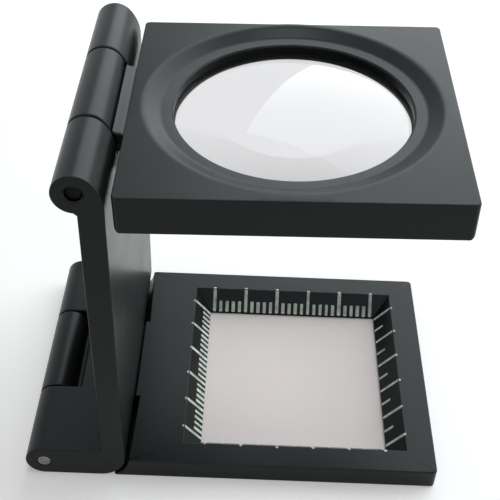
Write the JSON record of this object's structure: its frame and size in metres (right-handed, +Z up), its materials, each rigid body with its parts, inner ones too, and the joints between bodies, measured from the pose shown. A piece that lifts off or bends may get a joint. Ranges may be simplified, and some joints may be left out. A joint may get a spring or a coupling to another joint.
{
  "type": "folding reading magnifier",
  "caption": "Folding counting glass: bevelled base with an engraved window, upright riser and a lens plate with a round lens, on two pinned hinges.",
  "frame": {"origin": "on the table, under the middle of the bounding box of the opened magnifier at rest", "axes": "+X from the hinges to the free edge, +Y to the back, +Z up"},
  "size_m": [0.0558, 0.0378, 0.0512],
  "materials": {
    "base_enamel": "satin black enamel on a die-cast base, white-filled engraved scale",
    "riser_enamel": "satin black enamel",
    "hinge_pin_steel": "dull drawn steel wire, blackened on the ends",
    "lens_plate_enamel": "satin black enamel, turned dish with a finer sheen",
    "lens_glass": "clear polished optical glass",
    "ring_black": "matt black"
  },
  "bodies": {
    "base": {"base_frame": "base_enamel"},
    "riser": {"riser": "riser_enamel", "lower_hinge_pin": "hinge_pin_steel", "upper_hinge_pin": "hinge_pin_steel"},
    "lens_plate": {"lens_frame": "lens_plate_enamel", "lens": "lens_glass", "lens_retaining_ring": "ring_black"}
  },
  "joints": [
    {"name": "base_hinge", "type": "hinge", "parent": "base", "child": "riser", "pos_m": [-0.02542, 0, 0.0025], "axis": [0, -1, 0], "range_deg": [0, 270]},
    {"name": "lens_hinge", "type": "hinge", "parent": "riser", "child": "lens_plate", "pos_m": [-0.01762, 0, 0.0487], "axis": [0, -1, 0], "range_deg": [0, 268.6]}
  ]
}
